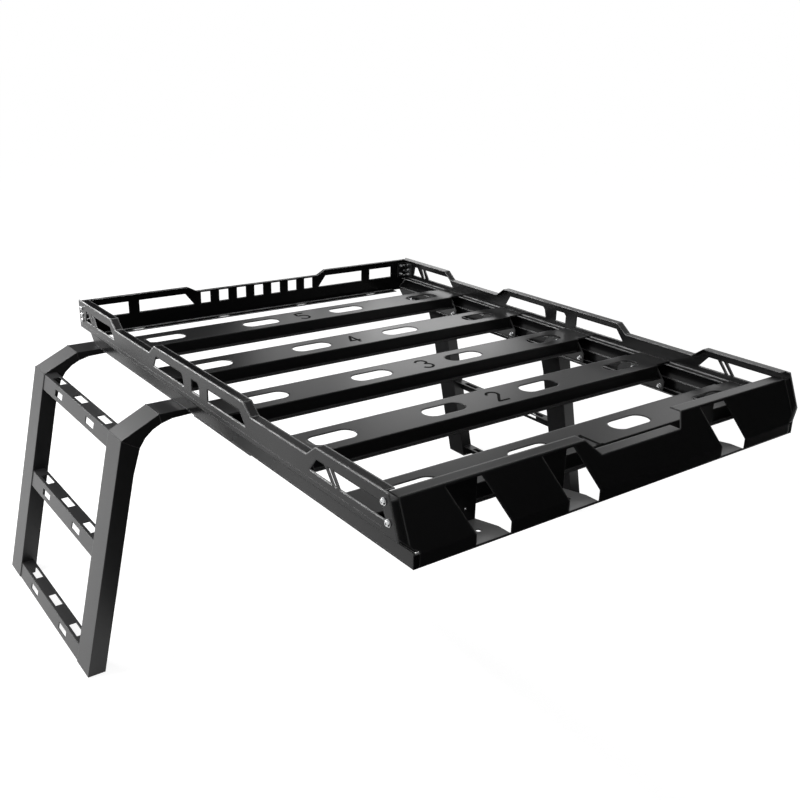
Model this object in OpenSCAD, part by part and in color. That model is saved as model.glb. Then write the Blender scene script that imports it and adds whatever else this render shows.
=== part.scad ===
// Flat platform roof rack in folded sheet steel, with a three-step ladder hung from each side.
// Millimetres. +X is the rack's right, +Y its rear, +Z up.
// The origin is on the underside of the left mounting foot, at the foot's middle.

/* [Platform] */
// width across the outer faces of the two side rails
rack_w = 1250; // [1200:10:1300]
// distance from the rack's middle station to the rear end of the rails
rear_y = 830; // [815:5:860]
// distance from the rack's middle station to the front end of the rails
front_len = 831; // [825:1:860]
// thickness of the folded sheet
sheet = 2.5; // [2:0.5:3]
// gap left between two pieces that are bolted or welded together
seat = 0.3; // [0.2:0.1:0.5]

/* [Side rails] */
// height of the raised parts of a rail
rail_h = 143; // [141:1:150]
// how far the two dips lie below the raised parts
dip = 26; // [18:1:26]
// length of each slope between a raised part and a dip
slope = 34; // [24:1:36]
// width of the flange folded inward along the top of a rail
flange_w = 24; // [18:1:28]
// width of the ledge inside each rail that the slat ends rest on
ledge_w = 24; // [18:1:28]
// width of the flange folded inward along the foot of a rail
foot_flange = 32; // [28:1:36]
// how far the rail's foot is set inward below its upright wall
step_in = 28; // [24:1:28]
// height of the lower edge of the rail windows
win_low = 87; // [85:1:90]
// height of the rail windows
win_h = 31; // [20:1:31]

/* [Rear rail] */
// half the length of the lowered middle of the rear rail
rear_mid = 232; // [225:1:236]
// how far that middle lies below the raised ends
rear_drop = 16; // [8:1:16]
// height of each of the seven square windows
square = 36; // [26:1:36]
// spacing of the square windows
square_pitch = 66; // [60:0.5:67]

/* [Slats] */
// height of the top of the slats
slat_z = 72; // [70:1:74]
// width of a slat's top
slat_w = 116; // [110:1:122]
// depth of a slat's front wall
slat_d = 38; // [30:1:42]
// width of the lip folded forward under that wall
lip_w = 10; // [6:1:12]
// length of the rounded slots in a slat
slot_len = 122; // [90:1:126]
// width of those slots
slot_w = 54; // [34:1:56]

/* [Front deflector] */
// height of the deflector's top lip
lip_z = 129; // [125:1:132]
// how far the top lip lies behind the bottom strip
lean_back = 44; // [38:1:48]
// height of the upright strip at the deflector's foot
strip_h = 28; // [24:1:31]
// width of the lip folded backward along the top
lip_d = 30; // [20:1:32]
// width of each lamp opening
lamp_w = 90; // [80:1:92]

/* [Mounting feet] */
// length of a mounting foot
foot_len = 300; // [260:5:310]
// width of a mounting foot
foot_w = 28; // [24:1:32]
// thickness of a mounting foot
foot_t = 5; // [4:0.5:8]
// radius of the bolt holes in a foot
foot_hole = 5.5; // [4.5:0.5:6]

/* [Ladders] */
// width of a ladder post, front to rear
post_w = 88; // [78:1:92]
// thickness of a ladder post, across the rack
post_t = 47; // [42:1:50]
// how far down the ladder reaches below the rails
ladder_d = 694; // [680:2:740]
// how far outward a post runs for each millimetre down
post_lean = 0.22; // [0.2:0.005:0.24]
// middle of the front post, ahead of or behind the middle station
post_front = 183; // [180:1:190]
// middle of the rear post
post_rear = 800; // [790:1:806]
// depth of a step's top face
step_d = 36; // [34:1:42]
// how far the right ladder stands ahead of the left one
right_ahead = 44; // [0:1:45]
// height of a step's outer face
step_h = 44; // [40:1:48]

/* [Hidden] */
$fn = 64;
half_w = rack_w / 2;
wall_in = half_w - sheet;
front_y = -front_len;
dip_z = rail_h - dip;
rear_top = rear_y - 263;
mid_rear = 254;
mid_front = -238;
front_top = front_y + 290;
nose_z = 34;
step_z = 58;
low_out = half_w - step_in;
flange_in = low_out - foot_flange;
lip_y = front_y + lean_back;
ledge_z = slat_z - sheet - seat;
plate_in = flange_in + 1;
rear_out = rear_y - 3;
rear_in = rear_out - sheet;
rear_h = rail_h - 3;
rear_low = 26;
rear_flange = 28;
rear_shift = -9;
slat_pitch = (rear_y + front_len) / 5.5;
slat_mid = (rear_y - front_len) / 2 - 68.5;
slat_back = 12;
lamp_x = [-448, -198, 309];
lamp_shift = 48;
tab_y = slat_mid - 2 * slat_pitch - slat_w / 2 - lip_w - seat - sheet;
tab_top = 98;
foot_y = -58;
foot_x = (low_out + flange_in) / 2;
foot_low = -seat - foot_t;
knee_x = half_w + 146;
knee_z = -51;
step_1 = 52;
step_2 = (step_1 + ladder_d - step_h) / 2;
black = [0.10, 0.10, 0.105];
grey = [0.16, 0.16, 0.165];

// height of the rack's own zero above the foot's underside, and its shift to the foot's middle
module placed() {
    translate([foot_x, -foot_y, -foot_low]) children();
}

// the same piece on the rack's left
module left_side() {
    placed() mirror([1, 0, 0]) children();
}

// a piece of the right ladder
module right_ladder() {
    placed() translate([0, -right_ahead, 0]) children();
}

// a side view, drawn in Y and Z, pushed out along X from x0 by w
module along_x(x0, w) {
    translate([x0, 0, 0]) rotate([90, 0, 90]) linear_extrude(height = w) children();
}

// a front view, drawn in X and Z, pushed out along Y from y0 by w
module along_y(y0, w) {
    translate([0, y0 + w, 0]) rotate([90, 0, 0]) linear_extrude(height = w) children();
}

// a strip of sheet under a line of points, as thick as the sheet
module strip_under(line) {
    n = len(line);
    polygon(concat(line, [for (i = [n - 1:-1:0]) [line[i][0], line[i][1] - sheet]]));
}

// a round-ended slot along X, cut through z0 to z0 + h
module slot_x(length, w, z0, h) {
    run = length - w;
    for (s = [-1, 1]) translate([s * run / 2, 0, z0]) cylinder(d = w, h = h);
    translate([-run / 2, -w / 2, z0]) cube([run, w, h]);
}

// the top line of a side rail, from the rear end to the front
function rail_line(y_start, y_end) = [
    [y_start, rail_h], [rear_top, rail_h], [rear_top - slope, dip_z],
    [mid_rear + slope, dip_z], [mid_rear, rail_h], [mid_front, rail_h],
    [mid_front - slope, dip_z], [front_top + slope, dip_z],
    [front_top, rail_h], [y_end, rail_h]];

// one rail window: rear and front ends at the bottom and the top, front top corner cut by c
module rail_window(rear_b, rear_t, front_t, front_b, c = 0) {
    z1 = win_low + win_h;
    polygon(c == 0
        ? [[rear_b, win_low], [rear_t, z1], [front_t, z1], [front_b, win_low]]
        : [[rear_b, win_low], [rear_t, z1], [front_t + c, z1], [front_t, z1 - c], [front_b, win_low]]);
}

module rail() {
    difference() {
        along_x(wall_in, sheet)
            polygon(concat(rail_line(rear_y, lip_y), [[nose_y(step_z), step_z], [rear_y, step_z]]));
        along_x(wall_in - 1, sheet + 2) {
            rail_window(rear_y - 56, rear_y - 62, rear_y - 78, rear_y - 103);
            rail_window(rear_y - 119, rear_y - 104, rear_y - 111, rear_y - 127);
            rail_window(rear_y - 148, rear_y - 125, rear_y - 260, rear_y - 287);
            rail_window(262, 243, 79, 73, 8);
            rail_window(28, 28, -14, -14, 8);
            rail_window(-60, -60, -221, -248);
            rail_window(front_y + 311, front_y + 284, front_y + 255, front_y + 228);
            rail_window(front_y + 218, front_y + 244, front_y + 236, front_y + 210);
            rail_window(front_y + 199, front_y + 224, front_y + 67, front_y + 49);
        }
    }
    along_x(half_w - flange_w, flange_w) strip_under(rail_line(rear_y - 16, lip_y + 12));
    rail_foot_wall();
    difference() {
        translate([flange_in, front_y + 31, 0])
            cube([foot_flange, rear_y - 34 - front_y - 31, sheet]);
        for (s = [-1, 1]) translate([foot_x, foot_y + s * foot_len * 0.4, -1])
            cylinder(r = foot_hole, h = sheet + 2);
    }
    translate([half_w - ledge_w, front_y + 60, ledge_z - sheet])
        cube([ledge_w - 1, rear_in - 3 * seat - front_y - 60, sheet]);
    translate([low_out - 13, front_y, 0]) cube([13, sheet, nose_z - 2]);
}

// station of the rail's sloping front edge at a height
function nose_y(z) = front_y + (z - nose_z) * lean_back / (rail_h - nose_z);

// the wall below the windows: it steps inward, then stands upright again
module rail_foot_wall() {
    difference() {
        along_y(front_y, rear_y - front_y)
            polygon([[half_w, step_z], [low_out, nose_z], [low_out, 0], [low_out - sheet, 0],
                [low_out - sheet, nose_z + 1], [wall_in, step_z + 1], [half_w, step_z + 1]]);
        along_x(flange_in, half_w - flange_in + 1) {
            polygon([[rear_y - 32, -1], [rear_y + 1, 33], [rear_y + 1, -1]]);
            polygon([[front_y - 1, nose_z], [front_y, nose_z],
                [nose_y(step_z + 2), step_z + 2], [front_y - 1, step_z + 2]]);
        }
    }
}

module rear_rail() {
    e = wall_in - seat;
    low_in = low_out - sheet - seat;
    mid = [[-rear_mid - 30, rear_h], [-rear_mid, rear_h - rear_drop],
        [rear_mid, rear_h - rear_drop], [rear_mid + 30, rear_h]];
    top = [for (p = mid) [p[0] + rear_shift, p[1]]];
    line = concat([[-e, rear_h]], top, [[e, rear_h]]);
    inner = concat([[-half_w + flange_w + 2, rear_h]], top, [[half_w - flange_w - 2, rear_h]]);
    difference() {
        along_y(rear_in, sheet) polygon(concat(line, [[e, step_z + 5], [low_in, nose_z + 3],
            [low_in, rear_low], [-low_in, rear_low], [-low_in, nose_z + 3], [-e, step_z + 5]]));
        translate([rear_shift, 0, 0]) along_y(rear_in - 1, sheet + 2) {
            for (i = [-3:3]) translate([i * square_pitch - 17, 80]) square([34, square]);
            for (s = [-1, 1]) {
                polygon([[s * 241, 80], [s * 270, 117], [s * 427, 117], [s * 427, 80]]);
                polygon([[s * 462, 80], [s * 462, 117], [s * 560, 117], [s * 560, 80]]);
            }
        }
    }
    along_y(rear_in - 9, 10) strip_under(inner);
    difference() {
        translate([-low_in + 34, rear_in - rear_flange, rear_low])
            cube([2 * low_in - 68, rear_flange + 1, sheet]);
        for (x = [-450, -150, 150, 450]) translate([x, rear_in - 14, 0])
            slot_x(38, 12, rear_low - 1, sheet + 2);
    }
}

// a slat seen from its end: a deep front wall with a lip, a top and a shallow rear wall
module slat_shape() {
    h = slat_w / 2;
    low = slat_z - slat_d;
    back = slat_z - slat_back;
    polygon([[-h - lip_w, low], [-h + sheet, low], [-h + sheet, slat_z - sheet],
        [h - sheet, slat_z - sheet], [h - sheet, back], [h, back], [h, slat_z], [-h, slat_z],
        [-h, low + sheet], [-h - lip_w, low + sheet]]);
}

function slat_y(n) = slat_mid + (n - 3) * slat_pitch;

module slat(n) {
    wall_end = plate_in - seat;
    tongue = wall_in - seat;
    placed() translate([0, slat_y(n), 0]) difference() {
        union() {
            along_x(-wall_end, 2 * wall_end) slat_shape();
            translate([-tongue, -slat_w / 2 + 6, slat_z - sheet]) cube([2 * tongue, slat_w - 12, sheet]);
        }
        for (x = [-half_w + 150, -158, 158, half_w - 150]) translate([x, 0, 0])
            slot_x(slot_len, slot_w, slat_z - sheet - 1, sheet + 2);
    }
}

// upright plate on the rail's foot flange, with a shelf under the slat that meets the ledge
module slat_bracket(n) {
    h = slat_w / 2;
    foot = sheet + seat;
    edge = half_w - ledge_w - seat;
    translate([0, slat_y(n), 0]) {
        along_x(plate_in, sheet)
            polygon([[-h - 26, foot], [h + 26, foot], [h + 26, 30], [h - 6, ledge_z - 1],
                [-h + 6, ledge_z - 1], [-h - 26, 30]]);
        translate([plate_in - 40, -h + 6, ledge_z - sheet]) cube([edge - plate_in + 40, slat_w - 12, sheet]);
    }
}

// where the deflector's front face lies at a height
function face_y(z) = z <= strip_h ? front_y
    : front_y + (z - strip_h) * lean_back / (lip_z - strip_h);

module deflector() {
    e = half_w - 23;
    t = sheet * 1.1;
    low_z = lip_z - 36;
    top_z = lip_z - 6;
    difference() {
        along_x(-e, 2 * e)
            polygon([[front_y, 0], [front_y, strip_h], [lip_y, lip_z], [lip_y + lip_d, lip_z],
                [lip_y + lip_d, lip_z - sheet], [face_y(lip_z - sheet) + t, lip_z - sheet],
                [front_y + sheet, strip_h - 1], [front_y + sheet, 0]]);
        along_y(front_y - 10, 120)
            polygon([[-122, lip_z + 1], [-81, low_z], [178, low_z], [192, lip_z + 1]]);
        for (s = [-1, 1]) along_y(front_y - 10, 60)
            polygon([[s * (low_out - 13.5), -1], [s * (low_out - 13.5), nose_z - 1],
                [s * (low_out - 5), nose_z + 2], [s * (e + 1), nose_z + 12],
                [s * (half_w + 10), nose_z + 12], [s * (half_w + 10), -1]]);
        for (x = lamp_x) along_y(front_y - 10, lean_back + 13)
            polygon([[x, 4], [x, strip_h], [x - lamp_shift, top_z], [x - lamp_shift + lamp_w, top_z],
                [x + lamp_w, strip_h], [x + lamp_w, 4]]);
    }
    along_x(-81, 259)
        polygon([[face_y(low_z), low_z], [face_y(low_z) + lip_d, low_z],
            [face_y(low_z) + lip_d, low_z - sheet], [face_y(low_z - sheet), low_z - sheet]]);
}

// the flap cut from a lamp opening, folded back as a shelf and up again against the first slat
module lamp_bracket(x) {
    front = front_y + sheet + seat;
    placed() difference() {
        union() {
            linear_extrude(height = sheet)
                polygon([[x, front], [x + lamp_w, front], [x + lamp_w, front_y + 38],
                    [x + lamp_w - 18, tab_y + sheet], [x - 18, tab_y + sheet], [x, front_y + 38]]);
            translate([x - 18, tab_y, 0]) cube([lamp_w, sheet, tab_top]);
        }
        translate([x + lamp_w / 2, front_y + 46, -1]) cylinder(r = 5.5, h = sheet + 2);
    }
}

// band behind the deflector's edge, bolted to the rail wall, with a face behind the deflector
module corner_front() {
    z0 = ledge_z + 4;
    z1 = lip_z - 8;
    gap = sheet * 1.1 + seat;
    along_x(wall_in - seat - sheet, sheet)
        polygon([[face_y(z0) + gap, z0], [face_y(z1) + gap, z1], [face_y(z1) + gap + 24, z1],
            [face_y(z0) + gap + 24, z0]]);
    along_x(wall_in - seat - 44, 44)
        polygon([[face_y(z0) + gap, z0], [face_y(z1) + gap, z1], [face_y(z1) + gap + 3, z1],
            [face_y(z0) + gap + 3, z0]]);
}

// angle between the side rail's wall and the rear rail
module corner_rear() {
    z0 = ledge_z + 3;
    z1 = rear_h - 12;
    y1 = rear_in - seat;
    translate([wall_in - seat - sheet, y1 - 38, z0]) cube([sheet, 38, z1 - z0]);
    translate([wall_in - seat - 40, y1 - sheet, z0]) cube([40, sheet, z1 - z0]);
}

// flat foot under the rail, with two bolt holes
module foot() {
    difference() {
        translate([foot_x - foot_w / 2, foot_y - foot_len / 2, foot_low])
            cube([foot_w, foot_len, foot_t]);
        for (s = [-1, 1]) translate([foot_x, foot_y + s * foot_len * 0.4, foot_low - 1])
            cylinder(r = foot_hole, h = foot_t + 2);
    }
}

// where the outer face of the ladder lies at a height
function post_x(z) = knee_x + (knee_z - z) * post_lean;

// hollow gooseneck post: arm under the rail, mitre, then down and outward
module post(y_mid) {
    arm = half_w - 63;
    s = sheet;
    low = post_x(-ladder_d);
    translate([0, y_mid, 0]) difference() {
        along_y(-post_w / 2, post_w)
            polygon([[arm, -seat], [half_w + 43, -seat], [knee_x, knee_z],
                [low, -ladder_d], [low - post_t, -ladder_d],
                [post_x(-150) - post_t, -150], [half_w + 109, -112], [half_w + 99, -80],
                [half_w + 83, -56], [half_w + 62, -38], [half_w + 38, -26],
                [half_w + 8, -18], [arm, -15]]);
        along_y(-post_w / 2 + s, post_w - 2 * s)
            polygon([[arm - 1, -seat - s], [half_w + 42, -seat - s], [knee_x - s - 0.5, knee_z - 1],
                [low - 2 * s, -ladder_d + s], [low - post_t + s, -ladder_d + s],
                [post_x(-150) - post_t + s, -150], [half_w + 111.5, -111], [half_w + 101, -78],
                [half_w + 84, -53.5], [half_w + 63, -35.5], [half_w + 38, -23.5],
                [half_w + 8, -15.5], [arm - 1, -15 + s]]);
    }
}

// step folded from sheet: slotted top face and slotted outer face
module step(z_top) {
    z_low = z_top - step_h;
    y0 = post_front + post_w / 2 + seat;
    y1 = post_rear - post_w / 2 - seat;
    mid = (y0 + y1) / 2;
    run = (y1 - y0) * 0.345;
    r = 2;
    difference() {
        along_y(y0, y1 - y0)
            polygon([[post_x(z_top) - r, z_top], [post_x(z_low) - r, z_low],
                [post_x(z_low) - r - sheet, z_low], [post_x(z_top) - r - sheet, z_top - sheet],
                [post_x(z_top) - r - step_d, z_top - sheet], [post_x(z_top) - r - step_d, z_top]]);
        for (k = [-1, 0, 1])
            translate([post_x(z_top) - r - step_d + 7, mid + k * run - 34, z_top - sheet - 1])
                cube([20, 68, sheet + 2]);
        for (k = [-1, 1])
            translate([post_x(z_low) - 22, mid + k * run * 0.7 - 30, z_top - step_h / 2 - 11])
                cube([40, 60, 19]);
    }
}

color(black) left_side() rail();  // left_rail
color(black) placed() rail();  // right_rail
color(black) placed() rear_rail();
color(black) placed() deflector();  // front_deflector
color(black) slat(1);  // slat_1
color(black) slat(2);  // slat_2
color(black) slat(3);  // slat_3
color(black) slat(4);  // slat_4
color(black) slat(5);  // slat_5
color(grey) left_side() slat_bracket(1);  // slat_bracket_left_1
color(grey) left_side() slat_bracket(2);  // slat_bracket_left_2
color(grey) left_side() slat_bracket(3);  // slat_bracket_left_3
color(grey) left_side() slat_bracket(4);  // slat_bracket_left_4
color(grey) left_side() slat_bracket(5);  // slat_bracket_left_5
color(grey) placed() slat_bracket(1);  // slat_bracket_right_1
color(grey) placed() slat_bracket(2);  // slat_bracket_right_2
color(grey) placed() slat_bracket(3);  // slat_bracket_right_3
color(grey) placed() slat_bracket(4);  // slat_bracket_right_4
color(grey) placed() slat_bracket(5);  // slat_bracket_right_5
color(grey) left_side() corner_front();  // corner_bracket_front_left
color(grey) placed() corner_front();  // corner_bracket_front_right
color(grey) left_side() corner_rear();  // corner_bracket_rear_left
color(grey) placed() corner_rear();  // corner_bracket_rear_right
color(grey) lamp_bracket(lamp_x[0]);  // lamp_bracket_1
color(grey) lamp_bracket(lamp_x[1]);  // lamp_bracket_2
color(grey) lamp_bracket(lamp_x[2]);  // lamp_bracket_3
color(grey) left_side() foot();  // left_foot
color(grey) placed() foot();  // right_foot
color(black) left_side() post(post_front);  // ladder_post_front_left
color(black) left_side() post(post_rear);  // ladder_post_rear_left
color(black) left_side() step(-step_1);  // ladder_step_top_left
color(black) left_side() step(-step_2);  // ladder_step_middle_left
color(black) left_side() step(step_h - ladder_d);  // ladder_step_bottom_left
color(black) right_ladder() post(post_front);  // ladder_post_front_right
color(black) right_ladder() post(post_rear);  // ladder_post_rear_right
color(black) right_ladder() step(-step_1);  // ladder_step_top_right
color(black) right_ladder() step(-step_2);  // ladder_step_middle_right
color(black) right_ladder() step(step_h - ladder_d);  // ladder_step_bottom_right
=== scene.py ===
# %% [markdown]
# # A flat platform roof rack, dressed for its picture
# The rack is already modelled as solids: folded sheet-steel rails, slats, a front deflector
# and two step ladders. This script loads those solids as a fixed frame and adds what makes
# them look real: a satin powder coat, zinc bolts, numerals cut in the slats, and studio light.

# %% Load the frame
import math
import bmesh
import bpy
import numpy as np
from mathutils import Matrix, Vector


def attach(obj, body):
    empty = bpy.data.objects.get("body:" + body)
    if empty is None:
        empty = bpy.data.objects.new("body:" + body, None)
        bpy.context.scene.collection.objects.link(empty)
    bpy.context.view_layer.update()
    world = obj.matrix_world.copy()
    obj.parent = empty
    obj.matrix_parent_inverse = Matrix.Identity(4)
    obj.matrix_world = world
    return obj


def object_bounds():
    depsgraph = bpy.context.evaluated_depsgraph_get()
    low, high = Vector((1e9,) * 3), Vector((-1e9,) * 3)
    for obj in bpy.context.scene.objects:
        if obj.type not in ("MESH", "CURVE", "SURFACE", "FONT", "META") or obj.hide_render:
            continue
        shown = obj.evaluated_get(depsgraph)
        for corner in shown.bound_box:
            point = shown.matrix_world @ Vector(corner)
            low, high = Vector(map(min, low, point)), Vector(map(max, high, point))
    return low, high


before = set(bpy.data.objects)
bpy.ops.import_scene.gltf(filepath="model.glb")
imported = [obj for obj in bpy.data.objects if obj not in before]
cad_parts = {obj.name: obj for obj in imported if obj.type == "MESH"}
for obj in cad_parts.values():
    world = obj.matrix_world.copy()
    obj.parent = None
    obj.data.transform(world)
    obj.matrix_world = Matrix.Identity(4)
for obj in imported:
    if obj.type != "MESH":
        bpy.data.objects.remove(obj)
cad_low, cad_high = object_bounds()
print("frame box", [round(v, 3) for v in (*cad_low, *cad_high)])

# %% [markdown]
# The drawing of the rack has its own zero: the middle of its width, a station near the middle
# of its length, and the underside of the rails. The model's origin is under the left mounting
# foot instead. One helper turns the first into the second, in metres.

# %% From the rack's own zero to the model's origin
RACK_ZERO = np.array([0.581, 0.058, 0.0053])


def rack(points):
    """Points given from the rack's own zero, in metres: the same points plus RACK_ZERO."""
    return np.asarray(points, float) + RACK_ZERO


# %% [markdown]
# ## The camera
# It stands ahead of the rack's front left corner, a little above it, looking down by about
# twenty degrees. Its place and its lens were worked out from the rack's straight edges.

# %% Camera
CAMERA_TURN, CAMERA_DROP, CAMERA_ROLL = (math.radians(v) for v in (-37.013, 20.25, 1.49))
CAMERA_PLACE = rack((-1.511, -1.990, 0.870))
FOCAL_SHARE = 937.6 / 800   # the lens's length for each unit of the picture's width


def camera_axes(turn, drop, roll):
    """Right, up and back as unit vectors: turn about the upright, then tip down, then roll."""
    back = np.array([math.sin(turn) * math.cos(drop), -math.cos(turn) * math.cos(drop),
                     math.sin(drop)])
    right = np.array([math.cos(turn), math.sin(turn), 0.0])
    up = np.cross(back, right)
    return (math.cos(roll) * right + math.sin(roll) * up,
            -math.sin(roll) * right + math.cos(roll) * up, back)


def make_camera():
    """The scene's camera: its three axes and its place as the columns of one matrix."""
    data = bpy.data.cameras.new("camera")
    data.sensor_width = 36.0
    data.lens = FOCAL_SHARE * data.sensor_width
    camera = bpy.data.objects.new("camera", data)
    bpy.context.scene.collection.objects.link(camera)
    matrix = np.eye(4)
    matrix[:3, :3] = np.stack(camera_axes(CAMERA_TURN, CAMERA_DROP, CAMERA_ROLL), axis=1)
    matrix[:3, 3] = CAMERA_PLACE
    camera.matrix_world = Matrix(matrix.tolist())
    bpy.context.scene.camera = camera
    return camera


camera = make_camera()
print("lens", round(camera.data.lens, 2), "mm")

# %% [markdown]
# ## Shared effects
# Powder coat is a baked plastic skin over steel. Up close it has a fine orange-peel grain,
# its colour drifts a little over a long part, and it looks paler where a fold or a cut edge
# is worn. On the rails the same edge mask carries a painted highlight along the top folds.
# Each of these is a small node group, so that every coat and the zinc on the bolts can share
# them with their own amounts.

# %% Node helpers
def plug(tree, socket, value):
    """Link a socket to another node's output, or set it to a plain value."""
    if isinstance(value, bpy.types.NodeSocket):
        tree.links.new(value, socket)
    else:
        socket.default_value = value


def math_node(tree, operation, a, b, clamp=False):
    """One Math node over a and b; clamp holds its result between 0 and 1."""
    node = tree.nodes.new("ShaderNodeMath")
    node.operation = operation
    node.use_clamp = clamp
    plug(tree, node.inputs[0], a)
    plug(tree, node.inputs[1], b)
    return node.outputs[0]


def noise_node(tree, place, scale, detail):
    """Noise read at a place on the surface, about 0.5 on average."""
    node = tree.nodes.new("ShaderNodeTexNoise")
    node.inputs["Detail"].default_value = detail
    plug(tree, node.inputs["Vector"], place)
    plug(tree, node.inputs["Scale"], scale)
    return node.outputs["Fac"]


def mix_colors(tree, share, a, b):
    """Colour a where the share is nought, colour b where it is one."""
    node = tree.nodes.new("ShaderNodeMix")
    node.data_type = "RGBA"
    plug(tree, node.inputs["Factor"], share)
    plug(tree, node.inputs["A"], a)
    plug(tree, node.inputs["B"], b)
    return node.outputs["Result"]


def spread(tree, value, low, high):
    """A value between 0 and 1 spread over low to high."""
    node = tree.nodes.new("ShaderNodeMapRange")
    node.inputs["To Min"].default_value = low
    node.inputs["To Max"].default_value = high
    tree.links.new(value, node.inputs["Value"])
    return node.outputs["Result"]


# %% Group helpers
def new_group(name, inputs, outputs):
    """An empty shader group with (name, kind, default) inputs and (name, kind) outputs."""
    group = bpy.data.node_groups.new(name, "ShaderNodeTree")
    for label, kind, value in inputs:
        socket = group.interface.new_socket(label, in_out="INPUT", socket_type=kind)
        socket.default_value = value
    for label, kind in outputs:
        group.interface.new_socket(label, in_out="OUTPUT", socket_type=kind)
    return group, group.nodes.new("NodeGroupInput"), group.nodes.new("NodeGroupOutput")


def group_node(tree, group, place):
    """A shared group set in a material, with the place on the surface plugged in."""
    node = tree.nodes.new("ShaderNodeGroup")
    node.node_tree = group
    tree.links.new(place, node.inputs["Place"])
    return node


# %% Grain and drift group
FINE_SHARE, COARSE_SHARE = 0.6, 0.4


def make_grain_group():
    """Height = 0.6 fine + 0.4 coarse noise; Drift = slow noise along the part, about 0.5."""
    group, source, sink = new_group(
        "powder grain",
        [("Place", "NodeSocketVector", (0, 0, 0)), ("Fine scale", "NodeSocketFloat", 900.0),
         ("Coarse scale", "NodeSocketFloat", 260.0), ("Drift scale", "NodeSocketFloat", 2.2)],
        [("Height", "NodeSocketFloat"), ("Drift", "NodeSocketFloat")])
    fine, coarse, drift = (
        noise_node(group, source.outputs["Place"], source.outputs[label], detail)
        for label, detail in (("Fine scale", 2.0), ("Coarse scale", 2.0), ("Drift scale", 4.0)))
    height = math_node(group, "ADD", math_node(group, "MULTIPLY", fine, FINE_SHARE),
                       math_node(group, "MULTIPLY", coarse, COARSE_SHARE))
    group.links.new(height, sink.inputs["Height"])
    group.links.new(drift, sink.inputs["Drift"])
    return group


# %% Edge wear and painted highlight group
EDGE_STEEP, PATCH_DETAIL, PATCH_TO = 5.0, 5.0, 0.66


def make_edge_group():
    """Wear and highlight = 5 (1 - flat normal . rounded normal), held between 0 and 1,
    times patchy noise: worn edges on most coats, the painted fold highlight on the rails.
    """
    group, source, sink = new_group(
        "edge wear and fold highlight",
        [("Flat", "NodeSocketVector", (0, 0, 1)), ("Rounded", "NodeSocketVector", (0, 0, 1)),
         ("Place", "NodeSocketVector", (0, 0, 0)), ("Patch scale", "NodeSocketFloat", 26.0),
         ("Patch from", "NodeSocketFloat", 0.42)],
        [("Wear and highlight", "NodeSocketFloat")])
    dot = group.nodes.new("ShaderNodeVectorMath")
    dot.operation = "DOT_PRODUCT"
    group.links.new(source.outputs["Flat"], dot.inputs[0])
    group.links.new(source.outputs["Rounded"], dot.inputs[1])
    turn = math_node(group, "SUBTRACT", 1.0, dot.outputs["Value"], clamp=True)
    sharp = math_node(group, "MULTIPLY", turn, EDGE_STEEP, clamp=True)
    noise = noise_node(group, source.outputs["Place"], source.outputs["Patch scale"],
                       PATCH_DETAIL)
    patch = group.nodes.new("ShaderNodeMapRange")
    group.links.new(source.outputs["Patch from"], patch.inputs["From Min"])
    patch.inputs["From Max"].default_value = PATCH_TO
    group.links.new(noise, patch.inputs["Value"])
    wear_and_highlight_mask = math_node(group, "MULTIPLY", sharp, patch.outputs["Result"])
    group.links.new(wear_and_highlight_mask, sink.inputs["Wear and highlight"])
    return group


GRAIN = make_grain_group()
EDGE_WEAR_AND_HIGHLIGHT = make_edge_group()
print("groups", GRAIN.name, "and", EDGE_WEAR_AND_HIGHLIGHT.name)

# %% [markdown]
# ## The powder coat
# The rack is black, but a black part is seen mostly by what it mirrors. The coat is a dark
# base with a satin sheen. The folds are rounded in the shading: a real press brake leaves a
# radius of a few millimetres, and that radius catches part of the bright line along each rail.
# The rest of that line is a painted highlight, a near-white colour on the rails' top folds
# where they round over upward. The flaps behind the deflector carry a painted sheen: their
# upward faces are coloured pale grey.

# %% Colour of a coat
DRIFT_DARK, DRIFT_LIGHT, RUB_LIGHT = 0.78, 1.25, 2.6
# This row shapes the painted highlight on the rails' top folds, the next the painted sheen on
# upward faces.
FOLD_HIGHLIGHT_PATCH_FROM, FOLD_HIGHLIGHT_LEAN = 0.1, 1.6
SHEEN_UP_FROM, SHEEN_UP_STEEP = 0.5, 8.0


def upward(tree, normal):
    """The upward part of a normal."""
    node = tree.nodes.new("ShaderNodeSeparateXYZ")
    tree.links.new(normal, node.inputs["Vector"])
    return node.outputs["Z"]


def coat_color(tree, color, drift, edges, rounded, flat, fold_highlight_color, up_sheen_color):
    """The base colour drifts by about a fifth, and is lighter where edges are worn.

    Where a fold colour is given, it is a painted highlight: folds and cut edges that tip upward
    take it as they round over, in place of the worn colour. Where an upward colour is given, it
    is a painted sheen: faces that look upward take it, with a share of 8 times the upward part
    of the flat normal less a half, held between 0 and 1."""
    dark, light, edge_wear_and_highlight_color = ((*[c * level for c in color], 1)
                           for level in (DRIFT_DARK, DRIFT_LIGHT, RUB_LIGHT))
    wear_and_highlight_mask = edges.outputs["Wear and highlight"]
    # On the rails the edge colour becomes a painted highlight, only where the fold tips upward.
    if fold_highlight_color:
        edges.inputs["Patch from"].default_value = FOLD_HIGHLIGHT_PATCH_FROM
        highlight_lean = math_node(tree, "MULTIPLY", upward(tree, rounded), FOLD_HIGHLIGHT_LEAN, clamp=True)
        wear_and_highlight_mask = math_node(tree, "MULTIPLY", wear_and_highlight_mask, highlight_lean)
        edge_wear_and_highlight_color = (*fold_highlight_color, 1)
    top = mix_colors(tree, wear_and_highlight_mask, mix_colors(tree, drift, dark, light), edge_wear_and_highlight_color)
    # A painted sheen: faces that look upward turn pale.
    if up_sheen_color:
        share = math_node(tree, "SUBTRACT", upward(tree, flat), SHEEN_UP_FROM)
        share = math_node(tree, "MULTIPLY", share, SHEEN_UP_STEEP, clamp=True)
        top = mix_colors(tree, share, top, (*up_sheen_color, 1))
    return top


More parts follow.
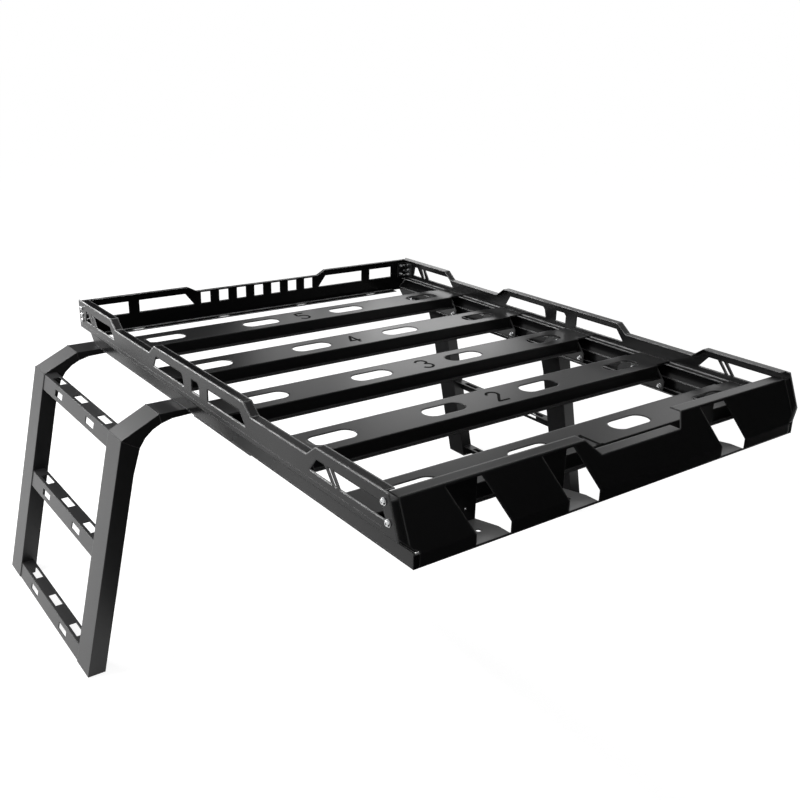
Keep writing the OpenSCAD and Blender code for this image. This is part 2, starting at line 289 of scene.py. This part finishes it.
# %% Coat material
FOLD_SAMPLES = 6
GLOSS_BELOW, GLOSS_ABOVE = 0.05, 0.06
GRAIN_STRENGTH, GRAIN_HEIGHT = 0.35, 0.00012


def new_material(name):
    """A material with its node tree and its Principled BSDF."""
    mat = bpy.data.materials.new(name)
    mat.use_nodes = True
    return mat, mat.node_tree, mat.node_tree.nodes["Principled BSDF"]


def grain_bump(tree, height, strength, depth):
    """A Bump node over a grain's height, which is depth metres at its most."""
    node = tree.nodes.new("ShaderNodeBump")
    node.inputs["Strength"].default_value = strength
    node.inputs["Distance"].default_value = depth
    tree.links.new(height, node.inputs["Height"])
    return node


def coat_material(name, color, roughness, fold_radius, fold_highlight_color=None, up_sheen_color=None,
                  specular=0.42):
    """Colour and roughness drift with a slow noise; the bump is grain over rounded folds."""
    mat, tree, shader = new_material(name)
    place = tree.nodes.new("ShaderNodeTexCoord").outputs["Object"]
    flat = tree.nodes.new("ShaderNodeNewGeometry").outputs["True Normal"]
    fold = tree.nodes.new("ShaderNodeBevel")
    fold.samples = FOLD_SAMPLES
    fold.inputs["Radius"].default_value = fold_radius
    rounded = fold.outputs["Normal"]
    grain = group_node(tree, GRAIN, place)
    edges = group_node(tree, EDGE_WEAR_AND_HIGHLIGHT, place)
    tree.links.new(flat, edges.inputs["Flat"])
    tree.links.new(rounded, edges.inputs["Rounded"])
    bump = grain_bump(tree, grain.outputs["Height"], GRAIN_STRENGTH, GRAIN_HEIGHT)
    tree.links.new(rounded, bump.inputs["Normal"])

    drift = grain.outputs["Drift"]
    tree.links.new(coat_color(tree, color, drift, edges, rounded, flat, fold_highlight_color, up_sheen_color),
                   shader.inputs["Base Color"])
    tree.links.new(spread(tree, drift, roughness - GLOSS_BELOW, roughness + GLOSS_ABOVE),
                   shader.inputs["Roughness"])
    shader.inputs["Specular IOR Level"].default_value = specular
    tree.links.new(bump.outputs["Normal"], shader.inputs["Normal"])
    return mat


# %% Coats on the frame
COAT = coat_material("black_powder_coat", (0.011, 0.011, 0.0115), 0.29, 0.006)
# The rails' fold colour is a painted highlight on the top folds where they round over upward.
# Their base is darker than the other coats' as painted shade, so that they stay as dark as the
# rest under the lamps.
COAT_RAIL_PAINTED_HIGHLIGHT = coat_material("black_powder_coat_rails_painted_highlight", (0.006, 0.006, 0.0063), 0.26, 0.006,
                          fold_highlight_color=(0.9, 0.9, 0.905), specular=0.2)
COAT_POST = coat_material("black_powder_coat_posts", (0.015, 0.015, 0.0155), 0.36, 0.0035,
                          specular=0.4)
# The flaps are black coat with a painted sheen: their upward faces are coloured pale grey.
COAT_FLAP_PAINTED_SHEEN = coat_material("black_coat_flaps_painted_sheen", (0.008, 0.008, 0.0085), 0.32, 0.001,
                          up_sheen_color=(0.38, 0.38, 0.382))


def coat_for(name):
    """Ladders are duller, rails glossier; the flaps behind the deflector take a painted sheen
    on their upward faces.
    """
    if name.startswith("ladder"):
        return COAT_POST
    if name.endswith("rail"):
        return COAT_RAIL_PAINTED_HIGHLIGHT
    return COAT_FLAP_PAINTED_SHEEN if name.startswith("lamp_bracket") else COAT


for name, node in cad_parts.items():
    node.data.materials.clear()
    node.data.materials.append(coat_for(name))
print("coated", len(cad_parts), "nodes")

# %% [markdown]
# ## Small parts
# Bolts, cut numerals and weld seams are too fine for the solids. Each is a surface worked out
# on a grid: one parameter runs along a path or round an axis, the other round the profile.

# %% Mesh from a grid of points
def grid_faces(rows, columns):
    """Quads between neighbouring points of a grid whose columns close on themselves."""
    r = np.arange(rows - 1)[:, None]
    c = np.arange(columns)[None, :]
    r2, c2 = r + 1, (c + 1) % columns
    return np.stack([r * columns + c, r * columns + c2, r2 * columns + c2, r2 * columns + c],
                    axis=-1).reshape(-1, 4)


def capped_tube(rings):
    """Rings (n, m, 3) joined by quads, with each end closed by one many-sided face."""
    n, m = rings.shape[:2]
    faces = [tuple(f) for f in grid_faces(n, m).tolist()]
    faces.append(tuple(range(m))[::-1])
    faces.append(tuple(range((n - 1) * m, n * m)))
    return rings.reshape(-1, 3), faces


def join_parts(parts):
    """Many (points, faces) as one list of points and one of faces, numbered in turn."""
    points, faces, start = [], [], 0
    for p, f in parts:
        points.append(p)
        faces += [tuple(i + start for i in face) for face in f]
        start += len(p)
    return np.concatenate(points), faces


# %% One object from many parts
def make_piece(name, parts, material, smooth_angle=40):
    """One object at the origin from many parts, faces turned outward, riding on the rack."""
    points, faces = join_parts(parts)
    mesh = bpy.data.meshes.new(name)
    mesh.from_pydata(points.tolist(), [], faces)
    mesh.validate()
    shell = bmesh.new()
    shell.from_mesh(mesh)
    bmesh.ops.recalc_face_normals(shell, faces=shell.faces)
    shell.to_mesh(mesh)
    shell.free()
    mesh.shade_smooth()
    mesh.set_sharp_from_angle(angle=math.radians(smooth_angle))
    mesh.materials.append(material)
    piece = bpy.data.objects.new(name, mesh)
    bpy.context.scene.collection.objects.link(piece)
    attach(piece, "root")
    print(name, len(parts), "parts,", sum(len(f) - 2 for f in faces), "triangles")
    return piece


# %% [markdown]
# ## Zinc bolts
# The rack comes flat-packed and is held by button-head bolts with washers. Their bright zinc is
# the only light metal on it. A bolt is a profile turned round its axis: washer, dome, and a
# six-sided socket, whose radius is the hexagon's distance from its middle at each angle.

# %% Zinc
def zinc_material():
    """Grey metal whose colour and roughness drift with a fine noise, as barrel plating does."""
    mat, tree, shader = new_material("zinc_plate")
    grain = group_node(tree, GRAIN, tree.nodes.new("ShaderNodeTexCoord").outputs["Object"])
    grain.inputs["Fine scale"].default_value = 1500
    grain.inputs["Drift scale"].default_value = 90
    tint = mix_colors(tree, grain.outputs["Drift"], (0.42, 0.43, 0.45, 1),
                      (0.72, 0.72, 0.71, 1))
    tree.links.new(tint, shader.inputs["Base Color"])
    shader.inputs["Metallic"].default_value = 1.0
    tree.links.new(spread(tree, grain.outputs["Height"], 0.12, 0.26),
                   shader.inputs["Roughness"])
    bump = grain_bump(tree, grain.outputs["Height"], 0.2, 0.00005)
    tree.links.new(bump.outputs["Normal"], shader.inputs["Normal"])
    return mat


ZINC = zinc_material()
print("metal", ZINC.name)

# %% Bolts and nuts
MM = 0.001
FASTENER_SIDES = 24
# stations (radius, height) in millimetres of an M8 button head on its washer
BOLT_PROFILE = ((0.1, -0.2), (8.0, -0.2), (8.2, 0.2), (8.0, 1.4), (7.0, 1.6), (6.9, 2.6),
                (6.4, 4.0), (5.2, 5.2), (3.6, 5.7), (2.9, 5.6), (2.8, 3.2), (0.1, 3.0))
SOCKET_FROM = 9
# the same of an M8 nut on its washer, with the bolt's end standing out of it
NUT_PROFILE = ((0.1, -0.2), (8.0, -0.2), (8.2, 0.2), (8.0, 1.4), (7.3, 1.6), (7.5, 2.2),
               (7.5, 7.2), (6.9, 7.9), (4.2, 7.9), (4.0, 12.5), (3.3, 13.2), (0.1, 13.2))
NUT_FROM, NUT_TO, END_FROM = 4, 7, 9


def across(axis):
    """Two unit vectors at right angles to a unit axis and to each other."""
    other = np.array([0.0, 0.0, 1.0]) if abs(axis[2]) < 0.9 else np.array([0.0, 1.0, 0.0])
    side = np.cross(axis, other)
    side /= np.linalg.norm(side)
    return side, np.cross(axis, side)


def turned(place, axis, profile, hexagonal):
    """Profile (radius, height) turned round the axis; hexagonal stations have six flats."""
    axis = np.asarray(axis, float) / np.linalg.norm(axis)
    side, up = across(axis)
    angle = np.arange(FASTENER_SIDES) * 2 * math.pi / FASTENER_SIDES
    hexagon = math.cos(math.pi / 6) / np.cos((angle % (math.pi / 3)) - math.pi / 6)
    radius = profile[:, :1] * np.where(hexagonal[:, None], hexagon, 1.0)
    round_axis = np.cos(angle)[:, None] * side + np.sin(angle)[:, None] * up
    rings = (np.asarray(place) + radius[:, :, None] * round_axis
             + profile[:, 1][:, None, None] * axis)
    return capped_tube(rings)


def bolt(place, axis, size=1.0, rise=1.0):
    """A button head with a hexagon socket; its heights are multiplied by rise."""
    profile = np.array(BOLT_PROFILE) * (MM * size, MM * size * rise)
    return turned(place, axis, profile, np.arange(len(profile)) >= SOCKET_FROM)


def nut(place, axis, size=1.0, reach=0.0):
    """Washer, hexagon nut and the bolt's end, which is longer by reach millimetres."""
    profile = np.array(NUT_PROFILE)
    profile[END_FROM:, 1] += reach
    profile *= MM * size
    station = np.arange(len(profile))
    return turned(place, axis, profile, (station >= NUT_FROM) & (station <= NUT_TO))


# %% [markdown]
# The bolts stand where two pieces meet. The side rails are bolted to the corner brackets, the
# slat brackets to the rails' foot, and each ladder arm up into the rail's foot flange; one
# small screw sits in the deflector. All places are measured from the rack's own zero.

# %% Sizes shared with the solids, in metres from the rack's zero
HALF_W, REAR_Y, FRONT_Y = 0.625, 0.830, -0.831
SHEET, SEAT = 0.0025, 0.0003
RAIL_H, NOSE_Z, LEAN_BACK = 0.143, 0.034, 0.044
LIP_Z, STRIP_H = 0.129, 0.028
SLAT_Z, SLAT_PITCH, SLAT_MID = 0.072, 0.302, -0.069
FOOT_FLANGE_IN, FOOT_FLANGE_REAR = 0.565, REAR_Y - 0.034
REAR_OUT = REAR_Y - 0.003
REAR_IN = REAR_OUT - SHEET
ARM_Y = (0.183, 0.800)          # middle of the front and the rear ladder post
AHEAD = {-1: 0.0, 1: 0.044}     # how far the left and the right ladder stand ahead
slat_y = SLAT_MID + (np.arange(1, 6) - 3) * SLAT_PITCH
print("slats at", np.round(slat_y, 3))


def nose_y(z):
    """Where the rail's sloping front edge lies at a height."""
    return FRONT_Y + (z - NOSE_Z) * LEAN_BACK / (RAIL_H - NOSE_Z)


def face_y(z):
    """Where the deflector's leaning face lies at a height."""
    return FRONT_Y + (z - STRIP_H) * LEAN_BACK / (LIP_Z - STRIP_H)


# %% Bolts on the rails and corners
NOSE_BOLT_IN, NOSE_BOLT_Z = 0.021, (0.122, 0.085)
SIDE_BOLT_Y, SIDE_BOLT_Z = 0.806, (0.121, 0.101, 0.084)
REAR_BOLT_X, REAR_BOLT_Z = 0.596, (0.116, 0.086)
M7, M6, SCREW = 0.9, 0.8, 0.26      # sizes, as shares of the M8 profiles
SIDE_END_REACH, REAR_HEAD_RISE = 12, 0.55
SCREW_X, SCREW_Z = -0.462, 0.076

rail_bolts = []
for side in (-1, 1):
    for z in NOSE_BOLT_Z:
        place = rack((side * HALF_W, nose_y(z) + NOSE_BOLT_IN, z))
        rail_bolts.append(bolt(place, (side, 0, 0)))
    for z in SIDE_BOLT_Z:
        inside = side * (HALF_W - 2 * SHEET - SEAT)
        rail_bolts.append(bolt(rack((side * HALF_W, SIDE_BOLT_Y, z)), (side, 0, 0), M7))
        rail_bolts.append(nut(rack((inside, SIDE_BOLT_Y, z)), (-side, 0, 0), M7,
                              SIDE_END_REACH))
    for z in REAR_BOLT_Z:
        x = side * REAR_BOLT_X
        rail_bolts.append(bolt(rack((x, REAR_OUT, z)), (0, 1, 0), M7, REAR_HEAD_RISE))
        rail_bolts.append(nut(rack((x, REAR_IN - SEAT - SHEET, z)), (0, -1, 0), M6))
face_out = np.array([0, -(LIP_Z - STRIP_H), LEAN_BACK])
rail_bolts.append(bolt(rack((SCREW_X, face_y(SCREW_Z), SCREW_Z)), face_out, SCREW))
make_piece("rail_bolts", rail_bolts, ZINC)

# %% Nuts on the slat brackets and the ladder arms
# a bracket's nuts: how far behind the slat's middle, and how high
BRACKET_NUTS = ((-0.071, 0.0165), (0.071, 0.0165), (-0.026, 0.046), (0.026, 0.046))
PLATE_STEP, NUT_ROOM = 0.001, 0.010
ARM_NUT_X, ARM_NUT_DY = 0.581, (-0.027, 0.027)

bracket_nuts = []
for side in (-1, 1):
    inner = side * (FOOT_FLANGE_IN + PLATE_STEP)
    for y in slat_y:
        for dy, z in BRACKET_NUTS:
            bracket_nuts.append(nut(rack((inner, y + dy, z)), (-side, 0, 0), M6))
    for arm_y in ARM_Y:
        for dy in ARM_NUT_DY:
            y = arm_y - AHEAD[side] + dy
            if y < FOOT_FLANGE_REAR - NUT_ROOM:
                bracket_nuts.append(nut(rack((side * ARM_NUT_X, y, SHEET)), (0, 0, 1), M7))
make_piece("bracket_nuts", bracket_nuts, ZINC)

# %% [markdown]
# ## The deflector's folded ends
# Between the deflector's face and each side rail a narrow strip closes the corner. It is a
# flat bar with one rounded edge, carried up the deflector's lean; its foot is cut on the
# slope of the rail's fold, so that each column of points starts at its own height.

# %% End strips
# stations (distance out, depth behind the face) round the strip
STRIP_PROFILE = ((0.6022, 0.0), (0.6195, 0.0), (0.6212, 0.0005), (0.6220, 0.0018),
                 (0.6220, 0.00275), (0.6022, 0.00275))
FOLD_Z, FOLD_SLOPE = 0.0432, 0.857


def end_strip(side, rows=12):
    """Profile carried up: z goes from the fold's height at x to the lip's underside."""
    profile = np.array(STRIP_PROFILE)
    foot = FOLD_Z + (profile[:, 0] - profile[0, 0]) * FOLD_SLOPE
    u = np.linspace(0, 1, rows)[:, None]
    z = foot[None, :] * (1 - u) + (LIP_Z - SHEET) * u
    x = np.broadcast_to(side * profile[:, 0], z.shape)
    y = face_y(z) + profile[:, 1]
    return capped_tube(np.stack([x, y, z], axis=2) + RACK_ZERO)


make_piece("deflector_end_strips", [end_strip(-1), end_strip(1)], COAT)

# %% [markdown]
# ## Numerals in the slats
# Each slat has its number cut near the middle, to be read from the front, so that the slats go
# back in order. The cut is narrow and the eye is low, so it shows as a dark stroke. Here each
# stroke is a flat bar carried along the number's line, coloured near black as painted shade
# for the cut's dark inside.

# %% Strokes
NUMERAL_W, NUMERAL_H, STROKE_W, STROKE_T = 0.038, 0.062, 0.0075, 0.0007
# the bar's section, as shares of its width and its thickness
BAR_SECTION = ((-0.5, -0.4), (0.5, -0.4), (0.5, 0.5), (0.36, 1.0), (-0.36, 1.0), (-0.5, 0.5))


def arc(cx, cy, rx, ry, start, end, count=14):
    """Points on an ellipse from one angle to another, in degrees."""
    t = np.radians(np.linspace(start, end, count))
    return np.stack([cx + rx * np.cos(t), cy + ry * np.sin(t)], axis=1)


def line(*points, step=0.08):
    """A polyline with extra points close to each corner, so that the bar keeps its width."""
    out = []
    points = np.asarray(points, float)
    for a, b in zip(points[:-1], points[1:]):
        out += [a, a + (b - a) * step, b - (b - a) * step]
    return np.array(out + [points[-1]])


def bar_along(path, width, height, z):
    """A flat bar: at each point of the path a low six-sided section, mitred by the tangent."""
    tangent = np.gradient(path, axis=0)
    tangent /= np.linalg.norm(tangent, axis=1, keepdims=True)
    left = np.stack([-tangent[:, 1], tangent[:, 0]], axis=1)
    section = np.array(BAR_SECTION)
    flat = path[:, None, :] + left[:, None, :] * (section[None, :, :1] * width)
    up = np.broadcast_to(z + section[None, :, 1:] * height, (len(path), len(section), 1))
    return capped_tube(np.concatenate([flat, up], axis=2))


# %% Numerals
# strokes of each numeral in a box one wide and one tall
NUMERALS = {
    1: [line((0.25, 0.78), (0.5, 1.0), (0.5, 0.0)), line((0.22, 0.0), (0.78, 0.0))],
    2: [np.concatenate([arc(0.5, 0.74, 0.42, 0.26, 170, -28),
                        [[0.12, 0.06], [0.05, 0.0], [0.15, 0.0], [0.95, 0.0]]])],
    3: [np.concatenate([arc(0.46, 0.76, 0.42, 0.24, 155, -80),
                        arc(0.46, 0.27, 0.46, 0.27, 80, -155)])],
    4: [line((0.95, 0.30), (0.05, 0.30), (0.66, 1.0), (0.66, 0.0))],
    5: [np.concatenate([[[0.92, 1.0], [0.20, 1.0], [0.14, 0.97], [0.10, 0.60], [0.16, 0.58]],
                        arc(0.45, 0.31, 0.47, 0.31, 110, -150)])],
}
# how far each numeral stands from its slat's middle, right and back, as in the photograph
NUMERAL_SHIFT = {1: (-0.004, -0.026), 2: (0.011, 0.0), 3: (0.019, 0.0), 4: (-0.014, 0.0),
                 5: (-0.008, 0.0)}


def numeral(n, y):
    """The strokes of one numeral, lying on the top of the slat whose middle is at y."""
    parts = []
    for stroke in NUMERALS[n]:
        path = ((stroke - 0.5) * (NUMERAL_W, NUMERAL_H) + (0.0, y) + NUMERAL_SHIFT[n]
                + RACK_ZERO[:2])
        parts.append(bar_along(path, STROKE_W, STROKE_T, SLAT_Z + RACK_ZERO[2]))
    return parts


# The strokes' near-black colour is painted shade, standing in for the dark inside of the cut.
CUT_PAINTED_SHADE = coat_material("numeral_cut_painted_shade", (0.004, 0.004, 0.004), 0.7, 0.0004, specular=0.05)
for n, y in enumerate(slat_y, 1):
    make_piece(f"numeral_{n}", numeral(n, y), CUT_PAINTED_SHADE)

# %% [markdown]
# ## Weld seams
# The ladder posts are bent from cut and welded box, and the steps are welded between them. A
# weld bead is a half-sunk round rod whose radius ripples along it, once for each dab of weld.

# %% Bead
BEAD_SIDES, RIPPLE, POINTS_A_RIPPLE = 8, 0.0045, 4
BEAD_LOW, BEAD_SWELL, BEAD_END = 0.86, 0.22, 0.4
ODD_WAY = np.array([0.31, 0.87, 0.38])      # a direction that no seam runs along


def bead_along(path, radius):
    """Round section on a resampled path: at a length s its radius is the bead's times
    0.86 + 0.22 |sin(pi s / RIPPLE)|, and both ends are drawn in to 0.4 of that."""
    leg = np.linalg.norm(np.diff(path, axis=0), axis=1)
    at = np.concatenate([[0], np.cumsum(leg)])
    s = np.linspace(0, at[-1], max(6, int(at[-1] / RIPPLE * POINTS_A_RIPPLE)))
    middle = np.stack([np.interp(s, at, path[:, k]) for k in range(3)], axis=1)
    tangent = np.gradient(middle, axis=0)
    tangent /= np.linalg.norm(tangent, axis=1, keepdims=True)
    side = np.cross(tangent, ODD_WAY)
    side /= np.linalg.norm(side, axis=1, keepdims=True)
    up = np.cross(tangent, side)
    angle = np.arange(BEAD_SIDES) * 2 * math.pi / BEAD_SIDES
    r = radius * (BEAD_LOW + BEAD_SWELL * np.abs(np.sin(s / RIPPLE * math.pi)))
    r[[0, -1]] *= BEAD_END
    rings = (middle[:, None, :] + r[:, None, None]
             * (np.cos(angle)[None, :, None] * side[:, None, :]
                + np.sin(angle)[None, :, None] * up[:, None, :]))
    return capped_tube(rings)


# %% Beads on the ladders
KNEE_X, KNEE_Z, POST_LEAN, POST_W = HALF_W + 0.146, -0.051, 0.22, 0.088
LADDER_D, STEP_1, STEP_H, STEP_D, STEP_IN = 0.694, 0.052, 0.044, 0.036, 0.002
STEP_TOPS = (-STEP_1, -(STEP_1 + LADDER_D - STEP_H) / 2, STEP_H - LADDER_D)
# a post's two mitres: (distance out, height) of the outer and of the inner corner
MITRES = (((HALF_W + 0.043, -SEAT), (HALF_W + 0.038, -0.026)),
          ((KNEE_X, KNEE_Z), (HALF_W + 0.099, -0.080)))
MITRE_BEAD, STEP_BEAD, BEAD_LIFT = 0.0014, 0.0016, 0.0006


def post_x(z):
    """How far out the post's leaning outer face lies at a height."""
    return KNEE_X + (KNEE_Z - z) * POST_LEAN


welds = []
for side in (-1, 1):
    for y_mid in (ARM_Y[0] - AHEAD[side], ARM_Y[1] - AHEAD[side]):
        y0, y1 = y_mid - POST_W / 2, y_mid + POST_W / 2
        for (xa, za), (xb, zb) in MITRES:
            seam = [(side * xb, y0, zb), (side * xa, y0, za), (side * xa, y1, za),
                    (side * xb, y1, zb)]
            welds.append(bead_along(rack(seam), MITRE_BEAD))
    for z_top in STEP_TOPS:
        for y in (ARM_Y[0] + POST_W / 2 + SEAT, ARM_Y[1] - POST_W / 2 - SEAT):
            edge = y - AHEAD[side]
            x_top, x_low = post_x(z_top) - STEP_IN, post_x(z_top - STEP_H) - STEP_IN
            seam = [(side * (x_top - STEP_D), edge, z_top), (side * x_top, edge, z_top),
                    (side * x_low, edge, z_top - STEP_H + BEAD_LIFT)]
            welds.append(bead_along(rack(seam), STEP_BEAD))
make_piece("ladder_welds", welds, COAT_POST, 60)

# %% Seams between the deflector's ends and the rails' folds
# points (distance out, height) along the fold, and how far behind the face the bead runs
END_SEAM = ((0.5850, 0.0336), (0.5945, 0.0366), (0.6020, 0.0432), (0.6215, 0.0601))
END_SEAM_IN, END_BEAD = 0.0018, 0.0027

end_seams = [bead_along(rack([(side * x, face_y(z) + END_SEAM_IN, z) for x, z in END_SEAM]),
                        END_BEAD) for side in (-1, 1)]
make_piece("deflector_seams", end_seams, COAT, 60)

# %% [markdown]
# ## Floor, backdrop and light
# The picture is a cut-out on white. The floor is a wide pale sheet below the ladders. It is
# brightened for the camera and for reflections, and still keeps the object's soft shadow. The
# world is brightened in the same way, so that floor and backdrop both look white.

# %% World
WORLD_LEVEL = 0.25
WHITE = (1, 1, 1, 1)


def seen_rays(tree):
    """One where a ray comes from the camera, a reflection or a clear body, else nought."""
    path = tree.nodes.new("ShaderNodeLightPath")
    seen = math_node(tree, "MAXIMUM", path.outputs["Is Camera Ray"],
                     path.outputs["Is Glossy Ray"])
    return math_node(tree, "MAXIMUM", seen, path.outputs["Is Transmission Ray"])


def white_background(tree, strength):
    """White light of one strength from all round."""
    node = tree.nodes.new("ShaderNodeBackground")
    node.inputs["Color"].default_value = WHITE
    node.inputs["Strength"].default_value = strength
    return node.outputs[0]


def make_world(level):
    """Full white for the rays that are seen, a dimmer white for the rays that light."""
    world = bpy.data.worlds.new("studio")
    bpy.context.scene.world = world
    world.use_nodes = True
    tree = world.node_tree
    tree.nodes.clear()
    mix = tree.nodes.new("ShaderNodeMixShader")
    tree.links.new(seen_rays(tree), mix.inputs[0])
    tree.links.new(white_background(tree, level), mix.inputs[1])
    tree.links.new(white_background(tree, 1.0), mix.inputs[2])
    out = tree.nodes.new("ShaderNodeOutputWorld")
    tree.links.new(mix.outputs[0], out.inputs["Surface"])


make_world(WORLD_LEVEL)
print("world lights with", WORLD_LEVEL, "and is seen as 1.0")

# %% Floor
FLOOR_Z = cad_low[2] - 0.002
FLOOR_REACH, FLOOR_SHADE = 60.0, 0.40


def make_stage_face(name, corners, material):
    """One four-cornered face on the stage, which isn't part of the rack."""
    mesh = bpy.data.meshes.new(name)
    mesh.from_pydata([tuple(c) for c in corners], [], [(0, 1, 2, 3)])
    mesh.materials.append(material)
    face = bpy.data.objects.new(name, mesh)
    bpy.context.scene.collection.objects.link(face)
    return face


def make_floor(shade, glow):
    """One wide square at FLOOR_Z, diffuse plus a glow for what the camera and gloss see."""
    mat, tree, shader = new_material("floor_sheet")
    shader.inputs["Base Color"].default_value = (shade, shade, shade, 1)
    shader.inputs["Roughness"].default_value = 0.9
    shader.inputs["Specular IOR Level"].default_value = 0.0
    shader.inputs["Emission Color"].default_value = WHITE
    level = math_node(tree, "MULTIPLY", seen_rays(tree), glow)
    tree.links.new(level, shader.inputs["Emission Strength"])
    ways = ((-1, -1), (1, -1), (1, 1), (-1, 1))
    return make_stage_face("floor", [(x * FLOOR_REACH, y * FLOOR_REACH, FLOOR_Z)
                                     for x, y in ways], mat)


make_floor(FLOOR_SHADE, 1.0 - FLOOR_SHADE * WORLD_LEVEL)
print("floor at", round(FLOOR_Z, 4))

# %% [markdown]
# Black gloss is lit by what it mirrors, so a studio shades it with black cards. One stands
# ahead of the rack and two lie on the floor: they keep the front faces deep black. Two hang
# behind it and shade the slats' sheen. The cards are seen only in reflections.

# %% Cards
CARD_Z = FLOOR_Z - RACK_ZERO[2] + 0.006
# name, centre from the rack's zero, the way it faces, width and height
CARDS = (
    ("card_front", (1.6, -2.6, 0.9), (-0.55, 0.83, 0), 5.6, 3.3),
    ("card_rear", (0.55, 3.6, 1.25), (0, -1, 0), 1.7, 3.9),
    ("card_rear_top", (3.5, 3.6, 2.85), (0, -1, 0), 4.2, 2.0),
    ("card_floor_front", (0.1, -2.7, CARD_Z), (0, 0, 1), 5.0, 3.4),
    ("card_floor_under", (0.175, 0.5, CARD_Z), (0, 0, 1), 1.85, 3.4),
)


def make_card(name, centre, facing, width, height):
    """A black card that only reflections see, standing square to the way it faces."""
    side, up = across(np.asarray(facing, float) / np.linalg.norm(facing))
    w, h = side * width / 2, up * height / 2
    mat, _, shader = new_material(name)
    shader.inputs["Base Color"].default_value = (0.004, 0.004, 0.004, 1)
    shader.inputs["Specular IOR Level"].default_value = 0.0
    card = make_stage_face(name, [centre - w - h, centre + w - h, centre + w + h,
                                  centre - w + h], mat)
    card.visible_camera = False
    card.visible_diffuse = False
    card.visible_shadow = False
    card.visible_transmission = False
    return card


for name, centre, facing, width, height in CARDS:
    make_card(name, rack(centre), facing, width, height)
print("cards", len(CARDS))

# %% [markdown]
# Three lamps do the rest. One grazes the left rail and ladder from behind, one is a long strip
# that the rails' top folds mirror, and a weak one from the right rear lifts the slats.

# %% Lamps
MIDDLE = rack((0, 0, 0.05))
# name, aim, direction from the aim, distance, size, and power in watts
LAMPS = (
    ("lamp_left_rear", MIDDLE, (-0.74, 0.66, 0.08), 4.0, (2.4, 0.8), 26),
    ("lamp_strip", rack((-HALF_W, 1.75, RAIL_H)), (-0.64, 0, 0.77), 1.5, (2.8, 0.16), 70),
    ("lamp_right_rear", MIDDLE, (0.62, 0.73, 0.29), 4.2, (1.1, 0.6), 5),
)


def lamp(name, aim, direction, distance, size, power):
    """A soft rectangle at aim + direction * distance, facing back to aim."""
    data = bpy.data.lights.new(name, "AREA")
    data.shape = "RECTANGLE"
    data.size, data.size_y = size
    data.energy = power
    lamp_object = bpy.data.objects.new(name, data)
    bpy.context.scene.collection.objects.link(lamp_object)
    d = Vector(direction).normalized()
    lamp_object.location = Vector(aim) + d * distance
    lamp_object.rotation_mode = "QUATERNION"
    lamp_object.rotation_quaternion = d.to_track_quat("Z", "Y")
    lamp_object.visible_camera = False
    return lamp_object


for row in LAMPS:
    lamp(*row)
bpy.context.scene.view_settings.view_transform = "Standard"
print("lamps", len(LAMPS))
